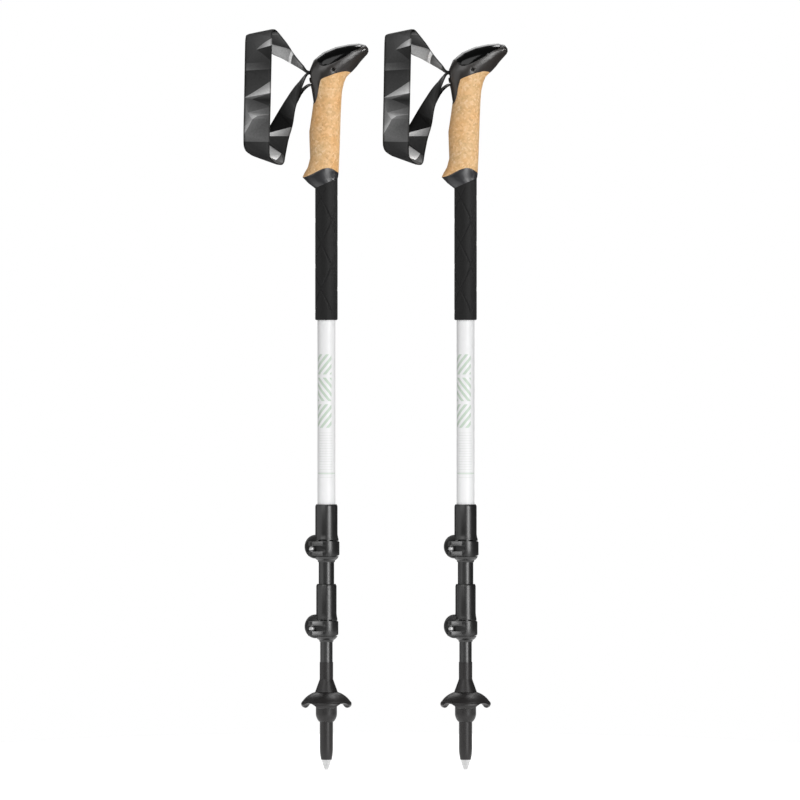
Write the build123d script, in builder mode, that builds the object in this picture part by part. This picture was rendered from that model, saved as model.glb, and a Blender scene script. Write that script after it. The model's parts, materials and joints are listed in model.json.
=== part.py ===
"""A pair of three-section telescoping trekking poles, shown pushed together.

Millimetres, +Z up. The two poles stand upright side by side along X, with their tips on z = 0 and the
origin midway between them. Each pole is built once, about its own axis, and placed twice. Heights are
measured from the tip. The grip's nose points to +X, its strap leaves on the -X side, and the levers of
the two locks close across the front, -Y.
"""
import os
from math import cos, radians, sin

from build123d import *

# ---- the pair ----------------------------------------------------------------------------------------
POLE_SPACING = 128.0
POLE_AXES = {"left": -POLE_SPACING / 2, "right": POLE_SPACING / 2}

# ---- shafts: outer radius, wall, lowest and highest end -----------------------------------------------
UPPER_R, UPPER_WALL, UPPER_ENDS = 8.2, 0.95, (214.0, 634.0)
MIDDLE_R, MIDDLE_WALL, MIDDLE_ENDS = 7.1, 1.2, (140.7, 606.0)
LOWER_R, LOWER_WALL, LOWER_ENDS = 5.7, 0.9, (58.0, 584.0)
PLUG_LIP = 8.0          # height of the guide lip on the top of an inner shaft
PLUG_SPIGOT = 12.0      # length of the plug pressed into the shaft
PLUG_GAP = 0.08         # radial clearance between a guide lip and the shaft round it

# ---- locks -------------------------------------------------------------------------------------------
UPPER_LOCK_Z = 203.5    # height of the upper lock's lever centre
LOWER_LOCK_Z = 130.2
SLIDE_GAP = 0.08        # radial clearance between a lock and the shaft it clamps
SLEEVE_TOP = 40.5       # heights below are from the lever centre
SKIRT_TOP = 14.0        # where the sleeve starts to flare towards the lever
SKIRT_BEND = (0.3, 11.0)                  # outwards from the sleeve, and height, half way down the flare
SKIRT_EDGE, SKIRT_FOOT = 8.7, 7.0
SLIT_LOW, SLIT_HIGH = 6.9, 8.0
SLIT_LEFT = -9.5        # the slit that frees the clamp band, in front and behind
SLIT_STOP = 0.6         # how far short of the bore's right side it stops
SLIT_WEB = 1.8          # half of what it leaves standing between front and back
SOCKET_FLOOR = 10.5
CLAMP_LOW = -7.3
FUNNEL_BEND = -11.0
FUNNEL_LOW = -12.6
FUNNEL_NECK, FUNNEL_RIM = 0.9, 0.5        # wall at the bend and at the end
FUNNEL_BULGE = (1.1, 2.0)                 # inwards and down from the clamp's edge, half way to the bend
SLEEVE_CHAMFER = (0.7, 1.75)
CLAMP_STEP = 2.4        # how far inside the lever's outer face the clamp band lies
SKIRT_STEP = 0.8        # and the flare above it and the funnel below it
EAR_CENTRE, EAR_SIZE, EAR_HALF = (-10.2, 1.6), (9.8, 10.8), 5.2
EAR_EDGE = 1.4
EAR_SLIT = 1.0          # half the gap between the two ears
BOLT_X, BOLT_R, BOLT_HOLE_R, BOLT_END = -13.4, 2.0, 2.2, 9.6
PLATE_SIZE, PLATE_T = 8.6, 0.8
EYE_R = 2.5             # the ball on the bolt, which the pin goes through
PIN_R, PIN_HALF = 1.2, 6.3
CAM_R, CAM_OFFSET = 3.3, 0.5
PIVOT_Y = -(EAR_HALF + PLATE_T + CAM_R + CAM_OFFSET + 0.02)
LEVER_HALF = 6.7
LEVER_T = 1.7
LEVER_START_ANGLE, LEVER_END_ANGLE = -107.0, 22.0
LEVER_TAB = 0.8
LEVER_LEFT, LEVER_RIGHT, LEVER_CORNER = -19.5, 0.9, 3.2     # right: beyond the band's outer face
RUNOUT = (13.0, 0.9)    # length and depth of the fork slot's shallow run-out
FORK_REACH = (-8.0, 4.2)                  # the fork's slot, left and right of the bolt
FORK_HALF = 2.55        # half the height of the slot that the bolt's eye sits in
NUT_R, NUT_THICK, NUT_FLUTES = 4.3, 3.9, 12

# ---- tip and basket ----------------------------------------------------------------------------------
TIP_R = 6.05            # straight stretch of the flex tip, where a rubber cap pushes on
TIP_STRAIGHT = (20.0, 44.0)
TIP_END_R, TIP_END_Z = 4.9, 9.2
SEAT_R = 7.3            # the basket's seat
FERRULE_R, FERRULE_TOP = 6.15, 98.9
CONE_R, CONE_Z = (10.4, 6.5), (71.5, 82.3)
CARBIDE_SHANK_R, CARBIDE_SHANK_TOP = 2.2, 24.0
BASKET_R, BASKET_TOP = 23.2, 71.3
BASKET_FOOT_Z = 44.2
HUB_R, BEAD_R, BEAD_Z = 9.7, 3.3, 60.4
BASKET_GAP = 0.1
LOBES = 4
ARCH_SIZE, ARCH_Z = (10.2, 8.4), 53.6     # the arches in the rim, half width and height, and centre
RIB_LOW, RIB_HEIGHT, RIB_WIDTH = 60.6, 5.4, 7.0

# ---- grip --------------------------------------------------------------------------------------------
FOAM_R, FOAM_BOTTOM = 10.35, 413.5
FOAM_TOP_BACK, FOAM_TOP_FRONT = 534.6, 543.6      # the foam's slanted top, at -X and at +X
CORE_R = 9.9
CORE_BOTTOM = 546.0
# The grip's outer form: sections that fan round from level at the foam to upright at the nose. Each is
# (back edge x, z), (front edge x, z), half its width along Y.
GRIP_SECTIONS = [
    ((-FOAM_R, FOAM_TOP_BACK), (FOAM_R, FOAM_TOP_FRONT), FOAM_R),
    ((-16.6, 539.4), (10.8, 545.2), 10.9),
    ((-22.0, 545.0), (11.1, 547.2), 12.0),
    ((-20.4, 548.6), (11.3, 550.0), 12.3),
    ((-17.2, 554.0), (11.5, 554.4), 12.5),
    ((-15.0, 562.5), (11.9, 562.5), 12.7),
    ((-15.5, 575.5), (12.3, 575.5), 13.3),
    ((-15.8, 587.0), (12.6, 587.0), 13.4),
    ((-13.4, 603.0), (13.2, 603.0), 12.9),
    ((-11.9, 614.5), (13.8, 615.5), 12.8),
    ((-13.6, 625.5), (14.5, 624.5), 13.4),
    ((-15.8, 634.5), (16.2, 631.8), 14.4),
    ((-15.6, 643.0), (18.4, 637.0), 15.3),
    ((-11.6, 652.6), (21.2, 640.0), 15.9),
    ((-3.0, 659.8), (24.2, 642.6), 16.1),
    ((8.5, 664.7), (27.8, 646.5), 15.4),
    ((20.0, 667.1), (31.4, 651.2), 13.8),
    ((30.0, 668.0), (35.0, 655.2), 11.0),
    ((36.0, 666.6), (37.7, 658.2), 7.0),
    ((38.5, 663.4), (38.8, 660.6), 2.4),
]
GRIP_FACETS = 32
GRIP_REACH = 40.0       # further out than any of the grip, along Y
# Edges between the grip's pieces, as points (x, z) in its plane of symmetry.
HEAD_EDGE = [
    (40, 634), (23.4, 640.4), (20.6, 641.6), (16.8, 641.7), (12.7, 640.8), (6.3, 638.9), (0.7, 636.7),
    (-3.7, 634.9), (-4.9, 633.9), (-5.6, 632.0), (-6.9, 626.6), (-7.6, 622.0), (-8.6, 617.5), (-10.0, 613.8),
    (-16, 608),
]
PAD_EDGE = [
    (50, 676), (34.0, 665.4), (27.5, 661.0), (18.5, 655.6), (11.0, 651.4), (3.5, 648.0), (-3.5, 646.6),
    (-8.0, 650.5), (-9.5, 660.0),
]
COLLAR_EDGE = [(-30, 541), (-21.0, 544.9), (-9.4, 549.4), (1.5, 553.0), (7.0, 551.6), (18, 544)]

# ---- strap, in the grip head -------------------------------------------------------------------------
STRAP_PIN_X, STRAP_PIN_Z, STRAP_PIN_R, STRAP_PIN_HALF = 6.3, 642.9, 1.5, 13.0
WEB_T, WEB_HALF = 1.5, 4.6
MOUTH_X, MOUTH_Z = -15.2, 641.0
POCKET_HALF, POCKET_GAP = 5.0, 0.35
TAIL_SLOT_Z, TAIL_SLOT_DEPTH = 630.6, -10.6
WEDGE_X, WEDGE_Z = (-13.6, -6.0), (636.4, 638.2)
WEDGE_ROOM = 3.4        # height of the channel that the wedge lies in

# The strap loop outside the head, as stations from the mouth over the top, down the flat front and back
# to the mouth: the (x, y, z) of its outer-left edge and of its right edge.
STRAP_T = 1.9
STRAP_STATIONS = [
    ((-19.2, 6.2, 643.2), (-18.6, -6.2, 643.6)),
    ((-24.8, 8.0, 646.6), (-21.3, -6.6, 648.2)),
    ((-33.4, 9.2, 650.6), (-27.0, -4.2, 654.0)),
    ((-41.6, 8.8, 655.2), (-31.4, 0.6, 660.6)),
    ((-50.0, 7.0, 658.8), (-34.9, 4.6, 666.6)),
    ((-59.0, 6.0, 665.2), (-39.0, 5.6, 672.4)),
    ((-68.2, 4.6, 672.4), (-43.2, 4.6, 677.2)),
    ((-71.8, 1.6, 675.4), (-46.2, 1.8, 680.0)),
    ((-73.2, -2.4, 675.4), (-48.4, -2.4, 680.4)),
    ((-74.2, -5.4, 672.2), (-49.8, -5.6, 677.0)),
    ((-74.8, -6.4, 662.0), (-50.0, -6.4, 663.0)),
    ((-75.5, -7.0, 620.0), (-50.9, -7.0, 620.0)),
    ((-76.0, -6.6, 582.0), (-51.9, -6.6, 580.0)),
    ((-74.8, -6.0, 571.2), (-51.6, -6.2, 565.2)),
    ((-70.8, -3.2, 567.4), (-47.8, -3.6, 559.6)),
    ((-65.8, 0.4, 565.4), (-42.0, 0.2, 556.8)),
    ((-62.2, 3.6, 566.8), (-38.8, 3.6, 559.0)),
    ((-60.6, 5.4, 572.4), (-37.2, 5.4, 567.0)),
    ((-57.6, 6.4, 583.0), (-34.7, 6.2, 580.4)),
    ((-49.6, 7.6, 597.0), (-31.0, 5.8, 593.4)),
    ((-40.6, 8.8, 612.0), (-28.6, 3.0, 608.0)),
    ((-30.6, 8.8, 627.0), (-24.6, -2.6, 622.8)),
    ((-22.8, 7.4, 635.8), (-20.9, -5.8, 633.4)),
    ((-19.2, 6.2, 638.4), (-18.4, -6.2, 637.6)),
]
TAIL_T = 1.5
# The adjusting tail: centre (x, z) and half width along Y, from the lower slot to where it is sewn on.
TAIL_STATIONS = [(-17.6, 629.4, 4.5), (-19.6, 628.0, 4.5), (-21.6, 625.6, 4.5), (-23.0, 622.4, 4.3)]


def shaft(outer_r, wall, ends):
    with BuildPart() as tube:
        with BuildSketch(Plane.XY.offset(ends[0])):
            Circle(outer_r)
            Circle(outer_r - wall, mode=Mode.SUBTRACT)
        extrude(amount=ends[1] - ends[0])
    return tube.part


def shaft_plug(inner_r, lip_r, top):
    """The guide plug in the top of an inner shaft, with three slots that let its lip spring."""
    with BuildPart() as plug:
        with BuildSketch(Plane.XY.offset(top - PLUG_SPIGOT)):
            Circle(inner_r)
        extrude(amount=PLUG_SPIGOT)
        with BuildSketch(Plane.XY.offset(top)):
            Circle(lip_r)
        extrude(amount=PLUG_LIP)
        chamfer(plug.edges().group_by(Axis.Z)[-1], 0.8)
        with BuildSketch(Plane.XY.offset(top + 1.5)):
            with PolarLocations(lip_r, 3):
                Rectangle(3.0, 1.4)
        extrude(amount=PLUG_LIP, mode=Mode.SUBTRACT)
    return plug.part


# ---- lock pieces -------------------------------------------------------------------------------------
def sleeve_section(z, bore, tube_r, sleeve_r, lever_r):
    """Half of the sleeve, clamp band and funnel, cut along the axis."""
    flare_r = lever_r - SKIRT_STEP
    clamp_r = lever_r - CLAMP_STEP
    with BuildSketch(Plane.XZ) as section:
        with BuildLine():
            Polyline(
                (bore + FUNNEL_NECK, z + FUNNEL_BEND), (bore + FUNNEL_RIM, z + FUNNEL_LOW),
                (bore, z + FUNNEL_LOW),
                (bore, z + SOCKET_FLOOR), (tube_r, z + SOCKET_FLOOR), (tube_r, z + SLEEVE_TOP),
                (sleeve_r - SLEEVE_CHAMFER[0], z + SLEEVE_TOP),
                (sleeve_r, z + SLEEVE_TOP - SLEEVE_CHAMFER[1]), (sleeve_r, z + SKIRT_TOP),
            )
            ThreePointArc(
                (sleeve_r, z + SKIRT_TOP), (sleeve_r + SKIRT_BEND[0], z + SKIRT_BEND[1]),
                (flare_r, z + SKIRT_EDGE),
            )
            Polyline(
                (flare_r, z + SKIRT_EDGE), (flare_r, z + SKIRT_FOOT), (clamp_r, z + SKIRT_FOOT),
                (clamp_r, z + CLAMP_LOW), (flare_r, z + CLAMP_LOW),
            )
            ThreePointArc(
                (flare_r, z + CLAMP_LOW), (flare_r - FUNNEL_BULGE[0], z + CLAMP_LOW - FUNNEL_BULGE[1]),
                (bore + FUNNEL_NECK, z + FUNNEL_BEND),
            )
        make_face()
    return section.sketch


def box_room(x_span, y_half, z_span):
    """A rectangle over x and y at the bottom of z_span, and the height to extrude it by."""
    with BuildSketch(Plane.XY.offset(z_span[0])) as room:
        with Locations((x_span[0], 0)):
            Rectangle(x_span[1] - x_span[0], 2 * y_half, align=(Align.MIN, Align.CENTER))
    return room.sketch, z_span[1] - z_span[0]


def slit_strips(z, right, reach):
    """The two strips, in front and behind, that part the clamp band from the skirt."""
    with BuildSketch(Plane.XY.offset(z)) as strips:
        with Locations((SLIT_LEFT, SLIT_WEB)):
            Rectangle(right - SLIT_LEFT, reach, align=Align.MIN)
        mirror(about=Plane.XZ)
    return strips.sketch


def round_hole(x, z, radius):
    with BuildSketch(Plane.XZ) as hole:
        with Locations((x, z)):
            Circle(radius)
    return hole.sketch


def lock_sleeve(z, slide_r, tube_r, sleeve_r, lever_r):
    """The moulded sleeve: a socket on the outer shaft, and below it a split clamp with two ears."""
    bore = slide_r + SLIDE_GAP
    ear_left = EAR_CENTRE[0] - EAR_SIZE[0]
    with BuildPart() as sleeve:
        with BuildSketch(Plane.XZ):                             # the pair of ears, still one disc
            with Locations((EAR_CENTRE[0], z + EAR_CENTRE[1])):
                Ellipse(*EAR_SIZE)
        extrude(amount=EAR_HALF, both=True)
        fillet(sleeve.faces().filter_by(Axis.Y).edges(), EAR_EDGE)
        revolve(sleeve_section(z, bore, tube_r, sleeve_r, lever_r), axis=Axis.Z)
        with BuildSketch(Plane.XY.offset(z + FUNNEL_LOW)):      # what the ears left in the bore
            Circle(bore)
        extrude(amount=SOCKET_FLOOR - FUNNEL_LOW, mode=Mode.SUBTRACT)
        with BuildSketch(Plane.XY.offset(z + SOCKET_FLOOR)):
            Circle(tube_r)
        extrude(amount=SLEEVE_TOP, mode=Mode.SUBTRACT)
        between_ears, tall = box_room((ear_left - 1, 0), EAR_SLIT, (z + FUNNEL_LOW - 1, z + SLIT_HIGH))
        extrude(between_ears, amount=tall, mode=Mode.SUBTRACT)
        strips = slit_strips(z + SLIT_LOW, bore - SLIT_STOP, lever_r)
        extrude(strips, amount=SLIT_HIGH - SLIT_LOW, mode=Mode.SUBTRACT)
        extrude(round_hole(BOLT_X, z, BOLT_HOLE_R), amount=EAR_HALF + 1, both=True, mode=Mode.SUBTRACT)
    return sleeve.part


def lock_plate(z):
    """The steel pressure plate that the cam bears on, on the front ear."""
    with BuildPart() as plate:
        with BuildSketch(Plane.XZ.offset(EAR_HALF)):
            with Locations((BOLT_X, z)):
                RectangleRounded(PLATE_SIZE, PLATE_SIZE + 3, 1.5)
                Circle(BOLT_HOLE_R, mode=Mode.SUBTRACT)
        extrude(amount=PLATE_T)
    return plate.part


def lock_bolt(z):
    """The tension bolt: a drilled ball for the lever's pin in front, and a shank through both ears."""
    with BuildPart() as bolt:
        with BuildSketch(Plane.XZ.offset(-BOLT_END)):
            with Locations((BOLT_X, z)):
                Circle(BOLT_R)
        extrude(amount=BOLT_END - PIVOT_Y)
        chamfer(bolt.edges().group_by(Axis.Y)[-1], 0.5)
        with Locations((BOLT_X, PIVOT_Y, z)):
            Sphere(EYE_R)
        with BuildSketch(Plane.XY.offset(z - EYE_R)):
            with Locations((BOLT_X, PIVOT_Y)):
                Circle(PIN_R)
        extrude(amount=2 * EYE_R, mode=Mode.SUBTRACT)
    return bolt.part


def lock_pin(z):
    with BuildPart() as pin:
        with BuildSketch(Plane.XY.offset(z - PIN_HALF)):
            with Locations((BOLT_X, PIVOT_Y)):
                Circle(PIN_R - 0.02)
        extrude(amount=2 * PIN_HALF)
        chamfer(pin.edges().filter_by(GeomType.CIRCLE), 0.25)
    return pin.part


def lock_nut(z):
    """The fluted adjusting nut behind the rear ear."""
    with BuildPart() as nut:
        with BuildSketch(Plane.XZ.offset(-EAR_HALF - 0.08)):
            with Locations((BOLT_X, z)):
                Circle(NUT_R)
                Circle(BOLT_R + 0.05, mode=Mode.SUBTRACT)
                with PolarLocations(NUT_R + 0.25, NUT_FLUTES):
                    Circle(0.6, mode=Mode.SUBTRACT)
        extrude(amount=-NUT_THICK)
    return nut.part


def lock_lever(z, lever_r):
    """The cam lever: a forked cam at the bolt's eye, and a band that wraps the clamp's front."""
    inner_r = lever_r - LEVER_T
    mid_r = lever_r - LEVER_T / 2
    end = radians(LEVER_END_ANGLE)
    with BuildPart() as lever:
        with BuildSketch(Plane.XY.offset(z - LEVER_HALF)):
            with Locations((BOLT_X, PIVOT_Y + CAM_OFFSET)):
                Circle(CAM_R)
            Polygon(
                (BOLT_X, PIVOT_Y - CAM_R + CAM_OFFSET), (-3.4, -lever_r + 0.47), (-2.0, -inner_r - 0.1),
                (-5.2, -inner_r + 1.5), (BOLT_X + 3.6, PIVOT_Y + 1.4), (BOLT_X, PIVOT_Y + CAM_R - 1.0),
                align=None,
            )
            wrap = LEVER_END_ANGLE - LEVER_START_ANGLE
            SlotArc(CenterArc((0, 0), mid_r, LEVER_START_ANGLE, wrap, mode=Mode.PRIVATE), LEVER_T)
            with Locations((mid_r + LEVER_TAB / 2) * Vector(cos(end), sin(end))):
                Circle(LEVER_T / 2 + LEVER_TAB / 2)
        extrude(amount=2 * LEVER_HALF)
        with BuildSketch(Plane.XZ):                             # rounded ends, seen from the front
            right = lever_r + LEVER_RIGHT
            with Locations(((LEVER_LEFT + right) / 2, z)):
                RectangleRounded(right - LEVER_LEFT, 2 * LEVER_HALF, LEVER_CORNER)
        extrude(amount=30, both=True, mode=Mode.INTERSECT)
        with BuildSketch(Plane.XY.offset(z - FORK_HALF)):       # the fork's slot, right through
            with Locations((BOLT_X + FORK_REACH[0], PIVOT_Y)):
                Rectangle(FORK_REACH[1] - FORK_REACH[0], 16, align=(Align.MIN, Align.CENTER))
        extrude(amount=2 * FORK_HALF, mode=Mode.SUBTRACT)
        with BuildSketch(Plane.XY.offset(z - FORK_HALF)):       # and its shallow run-out in the band
            with Locations((BOLT_X, RUNOUT[1] - lever_r)):
                Rectangle(RUNOUT[0], CAM_R, align=(Align.MIN, Align.MAX))
        extrude(amount=2 * FORK_HALF, mode=Mode.SUBTRACT)
        with BuildSketch(Plane.XY.offset(z - PIN_HALF)):
            with Locations((BOLT_X, PIVOT_Y)):
                Circle(PIN_R)
        extrude(amount=2 * PIN_HALF, mode=Mode.SUBTRACT)
    return lever.part


def lock_pieces(name, z, slide_r, tube_r, sleeve_r, lever_r):
    return {
        f"{name}_lock_sleeve": lock_sleeve(z, slide_r, tube_r, sleeve_r, lever_r),
        f"{name}_lock_plate": lock_plate(z),
        f"{name}_lock_bolt": lock_bolt(z),
        f"{name}_lock_pin": lock_pin(z),
        f"{name}_lock_nut": lock_nut(z),
        f"{name}_lock_lever": lock_lever(z, lever_r),
    }


# ---- tip and basket ----------------------------------------------------------------------------------
def flex_tip():
    """The moulded tip: a ferrule and cone on the shaft, the basket's seat, and the slim end."""
    with BuildPart() as tip:
        with BuildSketch(Plane.XZ):
            with BuildLine():
                Polyline(
                    (TIP_R, TIP_STRAIGHT[0]), (TIP_R, TIP_STRAIGHT[1]), (SEAT_R, TIP_STRAIGHT[1] + 2),
                    (SEAT_R, CONE_Z[0]), (CONE_R[0], CONE_Z[0]), (CONE_R[1], CONE_Z[1]),
                    (FERRULE_R, CONE_Z[1] + 1), (FERRULE_R, FERRULE_TOP), (LOWER_R, FERRULE_TOP),
                    (LOWER_R, LOWER_ENDS[0]), (0, LOWER_ENDS[0]), (0, CARBIDE_SHANK_TOP),
                    (CARBIDE_SHANK_R, CARBIDE_SHANK_TOP), (CARBIDE_SHANK_R, TIP_END_Z),
                    (TIP_END_R, TIP_END_Z),
                )
                ThreePointArc((TIP_END_R, TIP_END_Z), (5.65, 13.6), (TIP_R, TIP_STRAIGHT[0]))
            make_face()
        revolve(axis=Axis.Z)
    return tip.part


def carbide_tip():
    """The hard-metal point: a hollow-ground crown on a shank."""
    with BuildPart() as point:
        with BuildSketch(Plane.XZ):
            with BuildLine():
                Polyline(
                    (0, 0.9), (1.1, 0), (1.75, 0.3), (3.2, 4.2), (4.0, 7.0), (4.5, TIP_END_Z),
                    (CARBIDE_SHANK_R, TIP_END_Z), (CARBIDE_SHANK_R, CARBIDE_SHANK_TOP),
                    (0, CARBIDE_SHANK_TOP), close=True,
                )
            make_face()
        revolve(axis=Axis.Z)
        with BuildSketch(Plane.XY.offset(-0.5)):                # flutes that leave a toothed edge
            with PolarLocations(4.1, 8):
                Circle(1.5)
        extrude(amount=4.6, taper=9, mode=Mode.SUBTRACT)
    return point.part


def basket():
    """The screw-on basket: a hub, an umbrella with a beaded rim in four lobes, and ribs under it."""
    bore_r = SEAT_R + BASKET_GAP
    foot_r = TIP_R + 0.13 + BASKET_GAP      # the seat's cone is that much wider at the foot's height
    bead_x = BASKET_R - BEAD_R
    with BuildPart() as disc:
        with BuildSketch(Plane.XZ):
            with BuildLine():
                Polyline(
                    (10.7, BASKET_TOP), (bore_r, BASKET_TOP), (bore_r, TIP_STRAIGHT[1] + 2),
                    (foot_r, BASKET_FOOT_Z), (6.8, BASKET_FOOT_Z),
                )
                ThreePointArc((6.8, BASKET_FOOT_Z), (8.9, 47.5), (HUB_R, 52.0))
                Polyline((HUB_R, 52.0), (HUB_R, 66.2), (13.2, 66.8))
                Spline((13.2, 66.8), (16.8, 64.6), (bead_x, BEAD_Z))
                Line((bead_x, BEAD_Z), (bead_x + 2.4, 62.4))
                Spline((bead_x + 2.4, 62.4), (17.6, 67.6), (10.7, BASKET_TOP))
            make_face()
            with Locations((bead_x, BEAD_Z)):
                Circle(BEAD_R)
        revolve(axis=Axis.Z)
        with BuildSketch(Plane.XY.offset(RIB_LOW)):             # ribs from the hub out to each lobe
            with PolarLocations(0, LOBES):
                with Locations((HUB_R - 0.4, 0)):
                    Rectangle(bead_x - HUB_R, RIB_WIDTH, align=(Align.MIN, Align.CENTER))
        extrude(amount=RIB_HEIGHT, taper=8)
        for lobe in range(LOBES):                               # arches in the rim between the lobes
            turned = Plane.XZ.rotated((0, 0, 45 + 360 / LOBES * lobe)).offset(-30)
            with BuildSketch(turned):
                with Locations((0, ARCH_Z)):
                    Ellipse(*ARCH_SIZE)
            extrude(amount=30 - 11.5, mode=Mode.SUBTRACT)
    return disc.part


# ---- grip --------------------------------------------------------------------------------------------
def section_plane(back, front):
    centre = Vector((back[0] + front[0]) / 2, 0, (back[1] + front[1]) / 2)
    along = Vector(front[0] - back[0], 0, front[1] - back[1])
    return Plane(origin=centre, x_dir=along, z_dir=along.cross(Vector(0, 1, 0))), along.length / 2


def grip_form():
    """The grip's whole outer form, foam top to nose, which its pieces are cut from."""
    turns = [radians(360 / GRIP_FACETS * i) for i in range(GRIP_FACETS)]
    with BuildPart() as form:
        for back, front, half_width in GRIP_SECTIONS:
            plane, half_length = section_plane(back, front)
            with BuildSketch(plane):
                Polygon(*[(half_length * cos(t), half_width * sin(t)) for t in turns], align=None)
        loft(ruled=True)
    return form.part


def side_region(edge, *corners):
    """A region seen from the side, between a smooth edge and the corners that close it."""
    with BuildSketch(Plane.XZ) as region:
        with BuildLine():
            Spline(*edge[1:-1])
            Polyline(edge[-2], edge[-1], *corners, edge[0], edge[1])
        make_face()
    return region.sketch


def below_collar_edge():
    return side_region(COLLAR_EDGE, (40, 544), (40, 500), (-40, 500), (-40, 541))


def above_pad_edge():
    return side_region(PAD_EDGE, (-9.5, 700), (50, 700))


def webbing_side(gap):
    """The folded webbing seen from the side, or its room in the head: from the pin out to the mouth."""
    reach = STRAP_PIN_R + WEB_T + gap
    mouth = WEB_T + 0.5 + gap
    with BuildSketch(Plane.XZ) as outline:
        Polygon(
            (STRAP_PIN_X, STRAP_PIN_Z - reach), (MOUTH_X - gap, MOUTH_Z - mouth),
            (MOUTH_X - gap, MOUTH_Z + mouth), (STRAP_PIN_X, STRAP_PIN_Z + reach), align=None,
        )
        with Locations((STRAP_PIN_X, STRAP_PIN_Z)):
            Circle(reach)
    return outline.sketch


def cork_grip(form):
    with BuildPart() as cork:
        add(form)
        below_head = side_region(HEAD_EDGE, (-40, 608), (-40, 500), (40, 500))
        extrude(below_head, amount=GRIP_REACH, both=True, mode=Mode.INTERSECT)
        extrude(below_collar_edge(), amount=GRIP_REACH, both=True, mode=Mode.SUBTRACT)
        extrude(webbing_side(POCKET_GAP), amount=POCKET_HALF, both=True, mode=Mode.SUBTRACT)
        with BuildSketch(Plane.XY.offset(500)):
            Circle(CORE_R)
        extrude(amount=200, mode=Mode.SUBTRACT)
    return cork.part


def grip_collar(form):
    with BuildPart() as collar:
        add(form)
        extrude(below_collar_edge(), amount=GRIP_REACH, both=True, mode=Mode.INTERSECT)
        with BuildSketch(Plane.XY.offset(500)):
            Circle(UPPER_R)
        extrude(amount=200, mode=Mode.SUBTRACT)
        with BuildSketch(Plane.XY.offset(CORE_BOTTOM)):
            Circle(CORE_R)
        extrude(amount=200, mode=Mode.SUBTRACT)
    return collar.part


def foam_sleeve():
    with BuildPart() as foam:
        with BuildSketch(Plane.XY.offset(FOAM_BOTTOM)):
            Circle(FOAM_R)
            Circle(UPPER_R, mode=Mode.SUBTRACT)
        extrude(amount=FOAM_TOP_FRONT - FOAM_BOTTOM)
        chamfer(foam.edges().group_by(Axis.Z)[0].sort_by(SortBy.LENGTH)[-1], 0.8)
        with BuildSketch(Plane.XZ):                             # the slanted top
            Polygon(
                (-FOAM_R, FOAM_TOP_BACK), (FOAM_R, FOAM_TOP_FRONT), (FOAM_R, 560), (-30, 560),
                (-30, FOAM_TOP_BACK), align=None,
            )
        extrude(amount=30, both=True, mode=Mode.SUBTRACT)
    return foam.part


def grip_head(form):
    with BuildPart() as head:
        add(form)
        above_cork = side_region(HEAD_EDGE, (-40, 608), (-40, 700), (60, 700), (60, 634))
        extrude(above_cork, amount=GRIP_REACH, both=True, mode=Mode.INTERSECT)
        extrude(above_pad_edge(), amount=GRIP_REACH, both=True, mode=Mode.SUBTRACT)
        with BuildSketch(Plane.XY.offset(CORE_BOTTOM)):          # the core that the cork is bonded to
            Circle(CORE_R)
        extrude(amount=UPPER_ENDS[1] + 6 - CORE_BOTTOM)
        with BuildSketch(Plane.XY.offset(500)):
            Circle(UPPER_R)
        extrude(amount=UPPER_ENDS[1] - 500, mode=Mode.SUBTRACT)
        extrude(webbing_side(POCKET_GAP), amount=POCKET_HALF, both=True, mode=Mode.SUBTRACT)
        with BuildSketch(Plane.XZ):                             # its mouth, and the wedge's channel
            with Locations((MOUTH_X - 4, MOUTH_Z)):
                Rectangle(6, 2 * (WEB_T + 0.5 + POCKET_GAP), align=(Align.MIN, Align.CENTER))
            with Locations((MOUTH_X - 4, WEDGE_Z[0] - 0.1)):
                Rectangle(WEDGE_X[1] - MOUTH_X + 4.1, WEDGE_ROOM, align=(Align.MIN, Align.MIN))
        extrude(amount=POCKET_HALF, both=True, mode=Mode.SUBTRACT)
        with BuildSketch(Plane.XZ):                             # the lower slot, for the tail
            with Locations((TAIL_SLOT_DEPTH, TAIL_SLOT_Z)):
                Rectangle(9, TAIL_T + 1.0, align=(Align.MAX, Align.CENTER))
        extrude(amount=POCKET_HALF, both=True, mode=Mode.SUBTRACT)
        pin_hole = round_hole(STRAP_PIN_X, STRAP_PIN_Z, STRAP_PIN_R)
        extrude(pin_hole, amount=GRIP_REACH, both=True, mode=Mode.SUBTRACT)
    return head.part


def grip_top_pad(form):
    with BuildPart() as pad:
        add(form)
        extrude(above_pad_edge(), amount=GRIP_REACH, both=True, mode=Mode.INTERSECT)
    return pad.part


# ---- strap -------------------------------------------------------------------------------------------
def strap_pin():
    with BuildPart() as pin:
        extrude(round_hole(STRAP_PIN_X, STRAP_PIN_Z, STRAP_PIN_R), amount=STRAP_PIN_HALF, both=True)
        chamfer(pin.edges().filter_by(GeomType.CIRCLE), 0.3)
    return pin.part


def strap_anchor():
    """The end of the webbing inside the head, folded round the pin."""
    with BuildPart() as web:
        extrude(webbing_side(0), amount=WEB_HALF, both=True)
        with BuildSketch(Plane.XZ):
            Polygon(
                (STRAP_PIN_X, STRAP_PIN_Z - STRAP_PIN_R), (MOUTH_X - 1, MOUTH_Z - 0.5),
                (MOUTH_X - 1, MOUTH_Z + 0.5), (STRAP_PIN_X, STRAP_PIN_Z + STRAP_PIN_R), align=None,
            )
            with Locations((STRAP_PIN_X, STRAP_PIN_Z)):
                Circle(STRAP_PIN_R)
        extrude(amount=WEB_HALF + 1, both=True, mode=Mode.SUBTRACT)
    return web.part


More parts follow.
